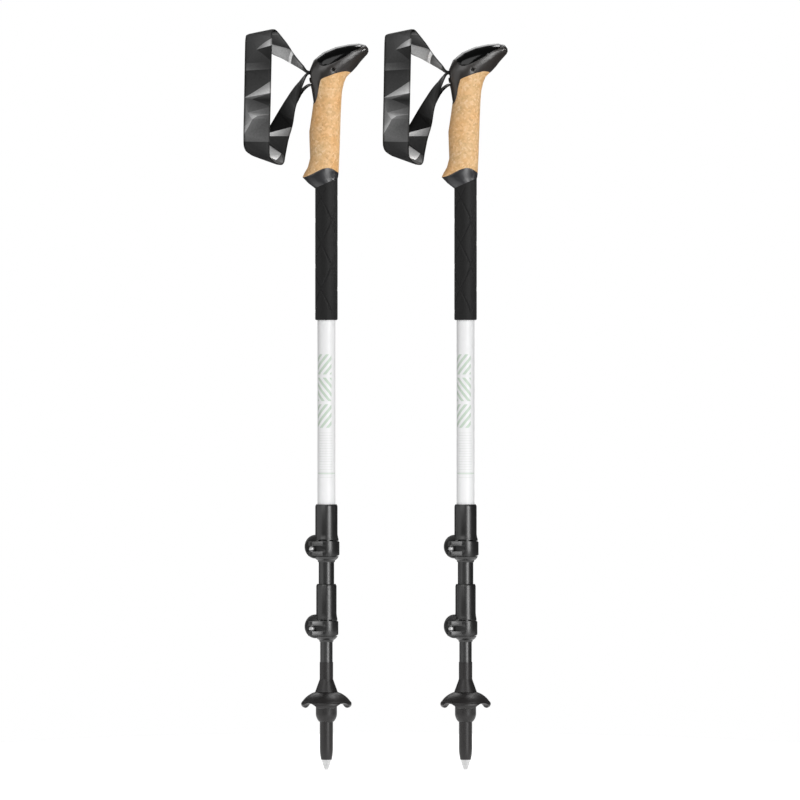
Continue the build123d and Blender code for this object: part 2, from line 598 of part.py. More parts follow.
def strap_wedge():
    """The wedge that jams the webbing at the mouth, with a lip to pull it by."""
    with BuildPart() as wedge:
        with BuildSketch(Plane.XZ):
            Polygon(
                (WEDGE_X[0], WEDGE_Z[0]), (WEDGE_X[1], WEDGE_Z[0]), (WEDGE_X[1], WEDGE_Z[0] + 1.0),
                (WEDGE_X[0] + 1.5, WEDGE_Z[1]), (WEDGE_X[0], WEDGE_Z[1]), align=None,
            )
        extrude(amount=WEB_HALF, both=True)
    return wedge.part


def strap_section(station, ahead, behind):
    """The plane across the webbing at a station, and its width there."""
    left, right = (Vector(*p) for p in station)
    width = right - left
    middle = (left + right) * 0.5
    run = sum((Vector(*p) for p in ahead), Vector()) - sum((Vector(*p) for p in behind), Vector())
    face = width.cross(run)
    return Plane(origin=middle, x_dir=width, z_dir=width.cross(face)), width.length


def wrist_strap():
    with BuildPart() as strap:
        last = len(STRAP_STATIONS) - 1
        for i, station in enumerate(STRAP_STATIONS):
            ahead, behind = STRAP_STATIONS[min(i + 1, last)], STRAP_STATIONS[max(i - 1, 0)]
            plane, width = strap_section(station, ahead, behind)
            with BuildSketch(plane):
                Rectangle(width, STRAP_T)
        loft(ruled=True)
    return strap.part


def strap_tail():
    with BuildPart() as tail:
        last = len(TAIL_STATIONS) - 1
        for i, (x, z, half) in enumerate(TAIL_STATIONS):
            ahead, behind = TAIL_STATIONS[min(i + 1, last)], TAIL_STATIONS[max(i - 1, 0)]
            run = Vector(ahead[0] - behind[0], 0, ahead[1] - behind[1])
            with BuildSketch(Plane(origin=(x, 0, z), x_dir=(0, 1, 0), z_dir=run)):
                Rectangle(2 * half, TAIL_T)
        loft(ruled=True)
    return tail.part


def pole_pieces():
    form = grip_form()
    upper_bore, middle_bore, lower_bore = UPPER_R - UPPER_WALL, MIDDLE_R - MIDDLE_WALL, LOWER_R - LOWER_WALL
    pieces = {
        "upper_shaft": shaft(UPPER_R, UPPER_WALL, UPPER_ENDS),
        "middle_shaft": shaft(MIDDLE_R, MIDDLE_WALL, MIDDLE_ENDS),
        "lower_shaft": shaft(LOWER_R, LOWER_WALL, LOWER_ENDS),
        "middle_shaft_plug": shaft_plug(middle_bore, upper_bore - PLUG_GAP, MIDDLE_ENDS[1]),
        "lower_shaft_plug": shaft_plug(lower_bore, middle_bore - PLUG_GAP, LOWER_ENDS[1]),
        "flex_tip": flex_tip(),
        "carbide_tip": carbide_tip(),
        "basket": basket(),
        "foam_grip": foam_sleeve(),
        "cork_grip": cork_grip(form),
        "grip_collar": grip_collar(form),
        "grip_head": grip_head(form),
        "grip_top_pad": grip_top_pad(form),
        "strap_pin": strap_pin(),
        "strap_anchor": strap_anchor(),
        "strap_wedge": strap_wedge(),
        "wrist_strap": wrist_strap(),
        "strap_tail": strap_tail(),
    }
    pieces |= lock_pieces("upper", UPPER_LOCK_Z, MIDDLE_R, UPPER_R, 10.25, 12.0)
    pieces |= lock_pieces("lower", LOWER_LOCK_Z, LOWER_R, MIDDLE_R, 9.35, 10.9)
    return pieces


os.makedirs("parts", exist_ok=True)
for piece_name, piece in pole_pieces().items():
    for side, axis_x in POLE_AXES.items():
        placed = piece.moved(Location((axis_x, 0, 0)))
        placed.label = f"{side}_{piece_name}"
        export_step(placed, f"parts/{placed.label}.step")
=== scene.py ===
"""A pair of trekking poles: looks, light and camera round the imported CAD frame. Metres, +Z up."""
import json
import math

import bmesh
import bpy
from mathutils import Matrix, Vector

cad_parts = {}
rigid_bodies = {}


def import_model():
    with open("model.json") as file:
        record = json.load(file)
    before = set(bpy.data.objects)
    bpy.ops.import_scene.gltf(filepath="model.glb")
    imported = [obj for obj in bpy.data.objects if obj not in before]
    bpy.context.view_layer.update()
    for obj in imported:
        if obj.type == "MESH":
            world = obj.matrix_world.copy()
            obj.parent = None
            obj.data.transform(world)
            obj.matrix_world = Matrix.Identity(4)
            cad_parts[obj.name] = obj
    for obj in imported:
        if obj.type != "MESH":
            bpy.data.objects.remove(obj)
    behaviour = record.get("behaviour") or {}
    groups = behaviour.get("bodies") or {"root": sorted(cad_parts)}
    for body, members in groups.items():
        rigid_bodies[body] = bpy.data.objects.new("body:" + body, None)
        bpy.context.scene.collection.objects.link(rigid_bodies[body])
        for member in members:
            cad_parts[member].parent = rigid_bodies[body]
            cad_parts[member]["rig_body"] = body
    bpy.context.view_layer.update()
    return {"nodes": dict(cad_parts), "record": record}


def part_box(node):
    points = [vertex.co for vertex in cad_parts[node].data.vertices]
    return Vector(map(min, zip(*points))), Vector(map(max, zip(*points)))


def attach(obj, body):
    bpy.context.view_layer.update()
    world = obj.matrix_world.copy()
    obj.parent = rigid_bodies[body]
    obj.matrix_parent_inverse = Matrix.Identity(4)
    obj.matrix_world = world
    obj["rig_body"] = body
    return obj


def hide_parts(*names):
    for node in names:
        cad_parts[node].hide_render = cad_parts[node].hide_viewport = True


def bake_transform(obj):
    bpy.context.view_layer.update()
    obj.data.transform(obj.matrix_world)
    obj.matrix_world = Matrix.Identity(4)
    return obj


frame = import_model()

MM = 0.001
SIDES = ("left", "right")
SPACING = 128 * MM          # between the two poles' axes
AXIS_X = {"left": -SPACING / 2, "right": SPACING / 2}


# ---- node helpers -------------------------------------------------------------------------------
class Shader:
    """A material being built: a Principled shader, and short ways to add nodes to it."""

    def __init__(self, name, **sockets):
        self.material = bpy.data.materials.new(name)
        self.material.use_nodes = True
        self.tree = self.material.node_tree
        self.shader = next(n for n in self.tree.nodes if n.type == "BSDF_PRINCIPLED")
        for socket, value in sockets.items():
            self.shader.inputs[socket.replace("_", " ")].default_value = value
        self.place = self.node("ShaderNodeTexCoord").outputs["Object"]

    def node(self, kind, settings=(), **inputs):
        made = self.tree.nodes.new(kind)
        for name, value in dict(settings).items():
            setattr(made, name, value)
        for name, value in inputs.items():
            self.plug(made.inputs[name.replace("_", " ")], value)
        return made

    def plug(self, socket, value):
        if isinstance(value, bpy.types.NodeSocket):
            self.tree.links.new(value, socket)
        else:
            socket.default_value = value

    def maths(self, operation, *values):
        made = self.node("ShaderNodeMath", {"operation": operation})
        for socket, value in zip(made.inputs, values):
            self.plug(socket, value)
        return made.outputs[0]

    def split(self, vector):
        return self.node("ShaderNodeSeparateXYZ", Vector=vector).outputs

    def noise(self, scale, detail=3.0, roughness=0.5, where=None):
        made = self.node("ShaderNodeTexNoise", Scale=scale, Detail=detail, Roughness=roughness,
                         Vector=where or self.place)
        return made.outputs["Fac"]

    def cells(self, scale):
        return self.node("ShaderNodeTexVoronoi", Vector=self.place, Scale=scale, Randomness=1.0).outputs

    def ramp(self, value, *stops):
        """Turns a value into a colour or a grey, from stops of (value, colour or grey)."""
        made = self.node("ShaderNodeValToRGB", Fac=value)
        elements = made.color_ramp.elements
        while len(elements) < len(stops):
            elements.new(0.5)
        for element, (position, colour) in zip(elements, stops):
            element.position = position
            element.color = grey(colour) if isinstance(colour, float) else (*colour, 1)
        return made.outputs["Color"]

    def mix(self, factor, a, b, blend="MIX"):
        made = self.node("ShaderNodeMix", {"data_type": "RGBA", "blend_type": blend})
        self.plug(made.inputs["Factor"], factor)
        for socket, value in ((made.inputs[6], a), (made.inputs[7], b)):
            self.plug(socket, (*value, 1) if isinstance(value, tuple) else value)
        return made.outputs[2]

    def grey_from(self, value):
        return self.node("ShaderNodeCombineColor", Red=value, Green=value, Blue=value).outputs[0]

    def between(self, value, low, high):
        """1 where value lies between low and high, with hard edges."""
        above, below = self.maths("GREATER_THAN", value, low), self.maths("LESS_THAN", value, high)
        return self.maths("MULTIPLY", above, below)

    def spread(self, value, low, high):
        """Stretches a value of 0 to 1 so that it runs from low to high."""
        made = self.node("ShaderNodeMapRange", Value=value)
        made.inputs["To Min"].default_value = low
        made.inputs["To Max"].default_value = high
        return made.outputs["Result"]

    def colour(self, value):
        self.plug(self.shader.inputs["Base Color"], value)

    def roughness(self, value):
        self.plug(self.shader.inputs["Roughness"], value)

    def bump(self, height, distance, strength):
        made = self.node("ShaderNodeBump", Height=height, Distance=distance, Strength=strength)
        self.plug(self.shader.inputs["Normal"], made.outputs["Normal"])


def grey(value):
    return (value, value, value, 1)


# ---- materials ----------------------------------------------------------------------------------
CORK_TONES = ((0.0, (0.60, 0.37, 0.165)), (0.35, (0.69, 0.435, 0.20)), (0.7, (0.74, 0.48, 0.235)),
              (1.0, (0.79, 0.55, 0.31)))
CORK_WARMTH = ((0.32, (1.05, 0.92, 0.78)), (0.68, (1.0, 1.03, 1.10)))
CORK_FLECK, FLECK_STRENGTH = (0.34, 0.19, 0.08), 0.42
GRANULE_RELIEF, FLECK_RELIEF, FINE_RELIEF = -0.5, -0.5, 0.3          # shares of the bump's distance


def cork():
    """Granules of several tans, with clusters of small dark flecks."""
    m = Shader("cork", Specular_IOR_Level=0.35, Sheen_Weight=0.12, Sheen_Roughness=0.35)
    granules, specks = m.cells(scale=520.0), m.cells(scale=1300.0)
    grain = m.split(granules["Color"])[0]
    warmth = m.ramp(m.noise(38.0, detail=4.0, roughness=0.6), *CORK_WARMTH)
    tan = m.mix(1.0, m.ramp(grain, *CORK_TONES), warmth, "MULTIPLY")
    dark = m.ramp(m.split(specks["Color"])[1], (0.88, 0.0), (0.96, 1.0))
    clusters = m.ramp(m.noise(210.0, detail=2.0), (0.5, 0.0), (0.66, 1.0))
    flecks = m.mix(1.0, dark, clusters, "MULTIPLY")
    m.colour(m.mix(m.maths("MULTIPLY", flecks, FLECK_STRENGTH), tan, CORK_FLECK))
    m.roughness(m.spread(grain, low=0.5, high=0.62))
    height = m.maths("ADD", m.maths("MULTIPLY", granules["Distance"], GRANULE_RELIEF),
                     m.maths("MULTIPLY", flecks, FLECK_RELIEF))
    height = m.maths("ADD", height, m.maths("MULTIPLY", m.noise(2600.0), FINE_RELIEF))
    m.bump(height, distance=0.08 * MM, strength=0.4)
    return m.material


def foam():
    m = Shader("foam", Specular_IOR_Level=0.25, Sheen_Weight=0.06, Sheen_Roughness=0.5)
    pores = m.noise(2300.0, detail=4.0, roughness=0.6)
    m.colour(m.ramp(pores, (0.3, 0.005), (0.7, 0.013)))
    m.roughness(m.spread(m.noise(500.0), low=0.55, high=0.72))
    m.bump(pores, distance=0.1 * MM, strength=0.4)
    return m.material


def moulded(name, colour, rough, grain, depth, specular=0.5, tint=(1.0, 1.0, 1.0)):
    """A moulded plastic: its gloss breaks up a little, and its surface has a fine grain."""
    m = Shader(name, Specular_IOR_Level=specular)
    wear = m.noise(45.0, detail=5.0, roughness=0.6)
    dark, light = (tuple(colour * share * part for part in tint) for share in (0.85, 1.2))
    m.colour(m.ramp(wear, (0.3, dark), (0.75, light)))
    m.roughness(m.spread(m.noise(130.0, detail=4.0), low=rough - 0.04, high=rough + 0.05))
    m.bump(m.noise(grain, detail=2.0), distance=depth, strength=0.5)
    return m.material


def metal(name, colour, rough, streak):
    """A drawn or ground metal, with fine streaks along or round the piece."""
    m = Shader(name, Metallic=1.0)
    stretched = m.node("ShaderNodeMapping", Vector=m.place)
    stretched.inputs["Scale"].default_value = streak
    lines = m.noise(1.0, detail=4.0, roughness=0.6, where=stretched.outputs["Vector"])
    m.colour(m.ramp(lines, (0.25, colour * 0.85), (0.75, colour * 1.15)))
    m.roughness(m.spread(lines, low=rough - 0.06, high=rough + 0.08))
    m.bump(lines, distance=0.02 * MM, strength=0.35)
    return m.material


WARP_PITCH, WEFT_PITCH = 0.75 * MM, 0.55 * MM


def webbing():
    """Woven polyester: its tone, painted on the mesh, holds the printed facets with painted highlights and
    painted shade, and it turns darker towards its edges.
    """
    m = Shader("webbing", Specular_IOR_Level=0.12)
    tone, across = (m.node("ShaderNodeAttribute", {"attribute_name": name}).outputs["Fac"]
                    for name in ("tone", "across"))
    weave_place = m.split(m.node("ShaderNodeUVMap", {"uv_map": "weave"}).outputs["UV"])
    threads = [m.maths("ABSOLUTE", m.maths("SINE", m.maths("MULTIPLY", place, math.pi / pitch)))
               for place, pitch in zip(weave_place, (WARP_PITCH, WEFT_PITCH))]
    weave = m.maths("MULTIPLY", *threads)
    edge = m.ramp(m.maths("ABSOLUTE", across), (0.84, 1.0), (0.97, 0.25))
    shade = m.maths("MULTIPLY", tone, m.spread(weave, low=2.3, high=3.3))
    shade = m.maths("MULTIPLY", shade, m.spread(m.noise(700.0), low=0.75, high=1.25))
    m.colour(m.grey_from(m.maths("MULTIPLY", shade, edge)))
    m.roughness(m.spread(weave, low=0.62, high=0.5))
    m.bump(weave, distance=0.14 * MM, strength=0.4)
    return m.material


# The printed decoration on the white shaft: heights above the tips, and the sectors of the tube that it
# covers, from and to an angle in radians, measured to the right from the front.
BARS_LOW, BARS_HIGH = 313 * MM, 382 * MM
BAND_HEIGHT, BAR_PITCH, BAR_TILT = 24.5 * MM, 7.5 * MM, 2.6
BAND_FILL = (0.06, 0.94)          # the part of a band's height that its bars take up
HAIRLINES_LOW, HAIRLINES_HIGH = 268 * MM, 310.5 * MM
HAIRLINE_PITCH, HAIRLINE_SHARE = 2.4 * MM, 0.16
GREEN_LINE, GREEN_LINE_HALF = 272.7 * MM, 0.4 * MM
BAR_SECTOR, RING_SECTOR, HAIRLINE_SECTOR = (-1.2, 0.62), (-1.2, 1.2), (-0.9, 0.75)
LACQUER = (0.855, 0.858, 0.861)
GREEN_INK, GREEN_STRENGTH = (0.52, 0.63, 0.52), 0.9
GREY_INK, GREY_STRENGTH = (0.60, 0.63, 0.60), 0.7


def slanted_bars(m, z, around):
    """1 on the bars, which slant one way in one band and the other way in the next."""
    row = m.maths("DIVIDE", m.maths("SUBTRACT", z, BARS_LOW), BAND_HEIGHT)
    way = m.maths("SUBTRACT", m.maths("PINGPONG", m.maths("FLOOR", row), 1.0), 0.5)
    tilt = m.maths("MULTIPLY", way, BAR_TILT)
    slant = m.maths("ADD", m.maths("DIVIDE", z, BAR_PITCH), m.maths("MULTIPLY", around, tilt))
    stripes = m.maths("GREATER_THAN", m.maths("FRACT", slant), 0.5)
    inside = m.maths("MULTIPLY", m.between(z, BARS_LOW, BARS_HIGH), m.between(around, *BAR_SECTOR))
    within = m.between(m.maths("FRACT", row), *BAND_FILL)
    return m.maths("MULTIPLY", m.maths("MULTIPLY", stripes, inside), within)


def hairlines(m, z, around):
    lines = m.maths("LESS_THAN", m.maths("FRACT", m.maths("DIVIDE", z, HAIRLINE_PITCH)), HAIRLINE_SHARE)
    lines = m.maths("MULTIPLY", lines, m.between(z, HAIRLINES_LOW, HAIRLINES_HIGH))
    return m.maths("MULTIPLY", lines, m.between(around, *HAIRLINE_SECTOR))


def white_lacquer(axis_x):
    """White lacquer with a plain printed decoration of slanted bars and hairlines."""
    m = Shader("white_lacquer", Specular_IOR_Level=0.5)
    x, y, z = m.split(m.place)
    around = m.maths("ARCTAN2", m.maths("SUBTRACT", x, axis_x), m.maths("MULTIPLY", y, -1.0))
    ring = m.maths("MULTIPLY", m.between(z, GREEN_LINE - GREEN_LINE_HALF, GREEN_LINE + GREEN_LINE_HALF),
                   m.between(around, *RING_SECTOR))
    green = m.maths("MAXIMUM", slanted_bars(m, z, around), ring)
    speckle = m.grey_from(m.spread(m.noise(300.0, detail=4.0), low=0.97, high=1.0))
    white = m.mix(1.0, LACQUER, speckle, "MULTIPLY")
    printed = m.mix(m.maths("MULTIPLY", green, GREEN_STRENGTH), white, GREEN_INK)
    lines = m.maths("MULTIPLY", hairlines(m, z, around), GREY_STRENGTH)
    m.colour(m.mix(lines, printed, GREY_INK))
    m.roughness(m.spread(m.noise(90.0, detail=4.0), low=0.4, high=0.48))
    m.bump(m.noise(350.0, detail=2.0), distance=0.03 * MM, strength=0.25)
    return m.material


def floor_white():
    m = Shader("studio_floor", Roughness=0.9, Emission_Strength=0.62)
    m.shader.inputs["Emission Color"].default_value = grey(1.0)
    m.colour(m.ramp(m.noise(3.0), (0.0, 0.86), (1.0, 0.9)))
    return m.material


MATERIAL = {
    "cork": cork(),
    "foam": foam(),
    "gloss_plastic": moulded("gloss_plastic", colour=0.001, rough=0.14, grain=1400.0, depth=0.01 * MM,
                             specular=0.35),
    "satin_plastic": moulded("satin_plastic", colour=0.009, rough=0.42, grain=2200.0, depth=0.03 * MM,
                             tint=(1.12, 0.97, 0.97)),
    "dark_anodised": metal("dark_anodised", colour=0.088, rough=0.36, streak=(900.0, 900.0, 25.0)),
    "steel": metal("steel", colour=0.55, rough=0.5, streak=(300.0, 300.0, 300.0)),
    "carbide": metal("carbide", colour=0.60, rough=0.24, streak=(200.0, 200.0, 2500.0)),
    "webbing": webbing(),
}
LOCK_PLASTIC = moulded("lock_plastic", colour=0.008, rough=0.33, grain=2000.0, depth=0.02 * MM,
                       specular=0.8)
COLLAR_PLASTIC = moulded("collar_plastic", colour=0.016, rough=0.38, grain=2000.0, depth=0.02 * MM,
                         specular=0.8, tint=(0.94, 0.96, 1.1))
HEAD_PLASTIC = moulded("head_plastic", colour=0.014, rough=0.36, grain=2000.0, depth=0.03 * MM,
                       specular=0.9, tint=(1.25, 1.0, 0.85))


def dress(obj, slot, material=None):
    obj.data.materials.clear()
    obj.data.materials.append(material or MATERIAL[slot])


# ---- mesh helpers -------------------------------------------------------------------------------
def add_object(name, data):
    obj = bpy.data.objects.new(name, data)
    bpy.context.scene.collection.objects.link(obj)
    return obj


def smooth_mesh(name, vertices, faces):
    mesh = bpy.data.meshes.new(name)
    mesh.from_pydata(vertices, [], faces)
    mesh.update()
    obj = add_object(name, mesh)
    shade_smooth(obj)
    return obj


def shade_smooth(obj):
    for polygon in obj.data.polygons:
        polygon.use_smooth = True


def apply_modifiers(obj):
    bpy.context.view_layer.update()
    evaluated = obj.evaluated_get(bpy.context.evaluated_depsgraph_get())
    mesh = bpy.data.meshes.new_from_object(evaluated)
    obj.modifiers.clear()
    old, obj.data = obj.data, mesh
    mesh.name = obj.name
    bpy.data.meshes.remove(old)


def stand_for(obj, node, slot, material=None, rides=True):
    """The piece takes the CAD node's place: its body (unless rides is false), finish and material."""
    if rides:
        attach(obj, frame["nodes"][node]["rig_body"])
    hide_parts(node)
    dress(obj, slot, material)


MERGE_DISTANCE = 0.004 * MM
FLAT_ANGLE, EDGE_ANGLE = math.radians(0.6), math.radians(32)
BEVEL_SEGMENTS = 2


def moulded_copy(node, slot, edge, material=None):
    """A copy of a moulded CAD piece with its sharp edges rounded, as moulding leaves them."""
    obj = add_object(f"{node}_moulded", frame["nodes"][node].data.copy())
    work = bmesh.new()
    work.from_mesh(obj.data)
    bmesh.ops.remove_doubles(work, verts=work.verts, dist=MERGE_DISTANCE)
    bmesh.ops.dissolve_limit(work, angle_limit=FLAT_ANGLE, verts=work.verts, edges=work.edges)
    work.to_mesh(obj.data)
    work.free()
    bevel = obj.modifiers.new("edges", "BEVEL")
    bevel.width, bevel.segments = edge, BEVEL_SEGMENTS
    bevel.limit_method, bevel.angle_limit = "ANGLE", EDGE_ANGLE
    apply_modifiers(obj)
    shade_smooth(obj)
    obj.data.set_sharp_from_angle(angle=EDGE_ANGLE)
    stand_for(obj, node, slot, material)


# ---- foam ---------------------------------------------------------------------------------------
GROOVE_LEAD = 126 * MM          # height of one turn of a groove
GROOVE_STARTS = 3               # grooves each way
GROOVE_PHASE = 0.32             # where the first one starts, in steps from one groove to the next
GROOVE_SLOPE = 0.46             # distance across a groove for each unit of height
GROOVE_WIDTH, GROOVE_DEPTH = 1.1 * MM, 0.75 * MM
PLAIN_FOOT, PLAIN_TOP, GROOVE_FADE = 6 * MM, 8 * MM, 3 * MM
FOAM_ROUNDS, FOAM_STEPS = 160, 260
FOAM_DROP = 9 * MM              # how much lower the slanted top is at the left than at the right
FOAM_WALL = 2 * MM
LIP_HEIGHT, LIP_DEPTH = 1.2 * MM, 1 * MM


def groove(turn, z, low, high):
    """How deep the foam's crossing grooves are at a point, from 0 to 1."""
    deepest = 0.0
    for way in (1, -1):
        phase = GROOVE_STARTS * ((z - low) / GROOVE_LEAD - way * turn) + GROOVE_PHASE
        along = abs(phase - round(phase)) * GROOVE_LEAD / GROOVE_STARTS
        across = along * GROOVE_SLOPE
        deepest = max(deepest, math.exp(-((across / (GROOVE_WIDTH / 2)) ** 2)))
    from_plain = min(z - low - PLAIN_FOOT, high - PLAIN_TOP - z)
    return deepest * min(1.0, max(0.0, from_plain / GROOVE_FADE))


def foam_vertices(low, high):
    """Rings of points: up the outside, then the top of the bore and its foot."""
    middle, radius = (low + high) / 2, (high.x - low.x) / 2
    turns = [i / FOAM_ROUNDS for i in range(FOAM_ROUNDS)]
    tops = [high.z - FOAM_DROP / 2 * (1 - math.cos(2 * math.pi * turn)) for turn in turns]

    def place(turn, r, z):
        angle = 2 * math.pi * turn
        return middle.x + r * math.cos(angle), middle.y + r * math.sin(angle), z

    vertices = []
    for j in range(FOAM_STEPS + 1):
        for turn, top in zip(turns, tops):
            z = low.z + (top - low.z) * j / FOAM_STEPS
            lip = min(1.0, (z - low.z) / LIP_HEIGHT)
            rolled = LIP_DEPTH * (1 - math.sqrt(max(0.0, 1 - (1 - lip) ** 2)))
            r = radius - GROOVE_DEPTH * groove(turn, z, low.z, high.z) - rolled
            vertices.append(place(turn, r, z))
    for ends in (tops, [low.z] * FOAM_ROUNDS):
        vertices += [place(turn, radius - FOAM_WALL, z) for turn, z in zip(turns, ends)]
    return vertices


def foam_grip(side):
    """The foam sleeve: grooved in a diamond, with a rolled lower edge and a slanted top."""
    node = f"{side}_foam_grip"
    vertices = foam_vertices(*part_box(node))
    faces = []
    for start in range(0, len(vertices), FOAM_ROUNDS):
        above = (start + FOAM_ROUNDS) % len(vertices)
        for a in range(FOAM_ROUNDS):
            b = (a + 1) % FOAM_ROUNDS
            faces.append((start + a, start + b, above + b, above + a))
    obj = smooth_mesh(f"{node}_grooved", vertices, faces)
    stand_for(obj, node, "foam")


# ---- strap shapes -------------------------------------------------------------------------------
# The loop as stations from the head's mouth over the top, down the flat front and back to the mouth:
# the place of its left and of its right edge, in millimetres from the pole's axis and the tip.
STRAP_STATIONS = [
    ((-13.4, 4.4, 641.6), (-13.4, -4.4, 641.8)),
    ((-18.4, 5.0, 642.0), (-18.0, -5.0, 642.6)),
    ((-24.8, 7.6, 646.0), (-21.6, -6.0, 647.6)),
    ((-33.4, 9.2, 650.6), (-27.0, -4.2, 654.2)),
    ((-41.6, 8.8, 655.2), (-31.4, 0.6, 660.6)),
    ((-50.0, 7.0, 658.6), (-35.2, 4.6, 667.0)),
    ((-59.0, 6.0, 665.0), (-39.6, 5.6, 672.8)),
    ((-68.6, 4.6, 672.6), (-44.0, 4.6, 678.2)),
    ((-72.2, 1.8, 675.2), (-46.6, 1.8, 680.4)),
    ((-73.6, -2.2, 675.2), (-48.6, -2.2, 680.4)),
    ((-74.4, -5.2, 671.8), (-49.6, -5.4, 676.6)),
    ((-74.8, -6.4, 662.0), (-50.0, -6.4, 663.0)),
    ((-75.5, -7.0, 620.0), (-50.9, -7.0, 620.0)),
    ((-76.2, -6.6, 582.0), (-51.9, -6.6, 580.0)),
    ((-75.4, -6.0, 571.6), (-51.8, -6.2, 565.0)),
    ((-71.6, -3.4, 567.0), (-48.2, -3.6, 559.0)),
    ((-66.0, 0.4, 565.0), (-42.4, 0.2, 556.4)),
    ((-62.2, 3.6, 566.8), (-39.0, 3.6, 558.6)),
    ((-60.4, 5.4, 572.4), (-37.4, 5.4, 567.0)),
    ((-57.4, 6.4, 583.0), (-34.7, 6.2, 580.4)),
    ((-49.6, 7.6, 597.0), (-31.0, 5.8, 593.4)),
    ((-40.6, 8.8, 612.0), (-28.6, 3.0, 608.0)),
    ((-30.6, 8.8, 627.0), (-24.8, -2.6, 620.0)),
    ((-24.0, 7.0, 634.2), (-21.2, -4.8, 631.2)),
    ((-18.6, 5.0, 639.8), (-17.6, -5.0, 639.0)),
    ((-13.4, 4.4, 640.6), (-13.4, -4.4, 640.4)),
]
STRAP_EDGES = [[Vector(station[k]) for station in STRAP_STATIONS] for k in (0, 1)]
STRAP_WIDTH, STRAP_THICKNESS = 24.5 * MM, 1.7 * MM
TAIL_STATIONS = [
    ((-12.4, 4.4, 630.4), (-12.4, -4.4, 630.2)),
    ((-15.8, 4.5, 630.9), (-15.4, -4.4, 628.8)),
    ((-19.0, 4.8, 629.6), (-18.2, -4.0, 626.8)),
    ((-22.2, 5.8, 627.0), (-21.0, -2.4, 624.0)),
    ((-26.0, 7.6, 622.8), (-23.8, 0.2, 619.8)),
    ((-30.0, 9.6, 617.0), (-26.4, 3.0, 614.6)),
    ((-33.4, 10.6, 612.0), (-29.0, 4.8, 609.4)),
]
TAIL_WIDTH, TAIL_THICKNESS = 10 * MM, 1.2 * MM
LENGTH_STEPS = 8                # steps from one station to the next when a strap is measured
RUN_STEP = 0.04                 # how far each way, in stations, the direction of a strap is taken over
EDGE_SHARE, EDGE_POWER = 0.35, 10          # thickness at an edge, and how close to it the strap thins


def curve_point(points, t):
    """A point on the smooth curve through a list of points, at a fractional place t in the list."""
    i = min(int(t), len(points) - 2)
    f = t - i
    p0, p1 = points[max(i - 1, 0)], points[i]
    p2, p3 = points[i + 1], points[min(i + 2, len(points) - 1)]
    return 0.5 * ((2 * p1) + (p2 - p0) * f + (2 * p0 - 5 * p1 + 4 * p2 - p3) * f * f
                  + (3 * p1 - p0 - 3 * p2 + p3) * f ** 3)


class Ribbon:
    """A flat strap given by its two edges, with a front and a back face."""

    def __init__(self, stations, axis_x, thickness):
        shift = Vector((axis_x, 0, 0))
        self.left, self.right = ([Vector(station[k]) * MM + shift for station in stations] for k in (0, 1))
        self.thickness = thickness
        self.last = len(stations) - 1
        self.lengths = [0.0]
        for i in range(self.last * LENGTH_STEPS):
            a, b = (self.middle(0, (i + k) / LENGTH_STEPS) for k in (0, 1))
            self.lengths.append(self.lengths[-1] + (b - a).length)

    def middle(self, u, t):
        """Half way through the thickness, at u from -1 (left edge) to 1 (right edge)."""
        return curve_point(self.left, t).lerp(curve_point(self.right, t), (u + 1) / 2)

    def along(self, t):
        place = min(max(t, 0), self.last) * LENGTH_STEPS
        i = min(int(place), len(self.lengths) - 2)
        return self.lengths[i] + (self.lengths[i + 1] - self.lengths[i]) * (place - i)

    def across(self, t):
        return curve_point(self.right, t) - curve_point(self.left, t)

    def normal(self, u, t):
        run = self.middle(u, min(t + RUN_STEP, self.last)) - self.middle(u, max(t - RUN_STEP, 0))
        return self.across(t).cross(run).normalized()

    def point(self, u, t, side, raised=0.0):
        """side is 1 on the face that the facets are pressed into, -1 on the other."""
        rounding = math.sqrt(max(0.0, 1 - abs(u) ** EDGE_POWER))
        half = self.thickness / 2 * (EDGE_SHARE + (1 - EDGE_SHARE) * rounding) + raised * rounding
        return self.middle(u, t) + self.normal(u, t) * half * side


# ---- strap facets -------------------------------------------------------------------------------
# Facets on the flat front: corner points as (across, height in millimetres).
FRONT_POINTS = {
    "l0": (-1, 675.2), "r0": (1, 680.4), "r1": (1, 672.5), "r2": (1, 666), "a": (-0.15, 661.8),
    "r3": (1, 651), "l1": (-1, 649), "r4": (1, 644), "l2": (-1, 642.5), "r5": (1, 633.4), "l3": (-1, 617.6),
    "r6": (1, 622.2), "b": (-0.4, 616.3), "r7": (1, 615.8), "r8": (1, 609.5), "c": (-0.7, 604),
    "r9": (1, 602.5), "e": (0.0, 600.8), "d": (-0.35, 597.8), "r10": (1, 598.4), "l4": (-1, 591),
    "l5": (-1, 583.5), "r11": (1, 577.2), "l6": (-1, 577.6), "r12": (1, 565), "l7": (-1, 571.6),
}
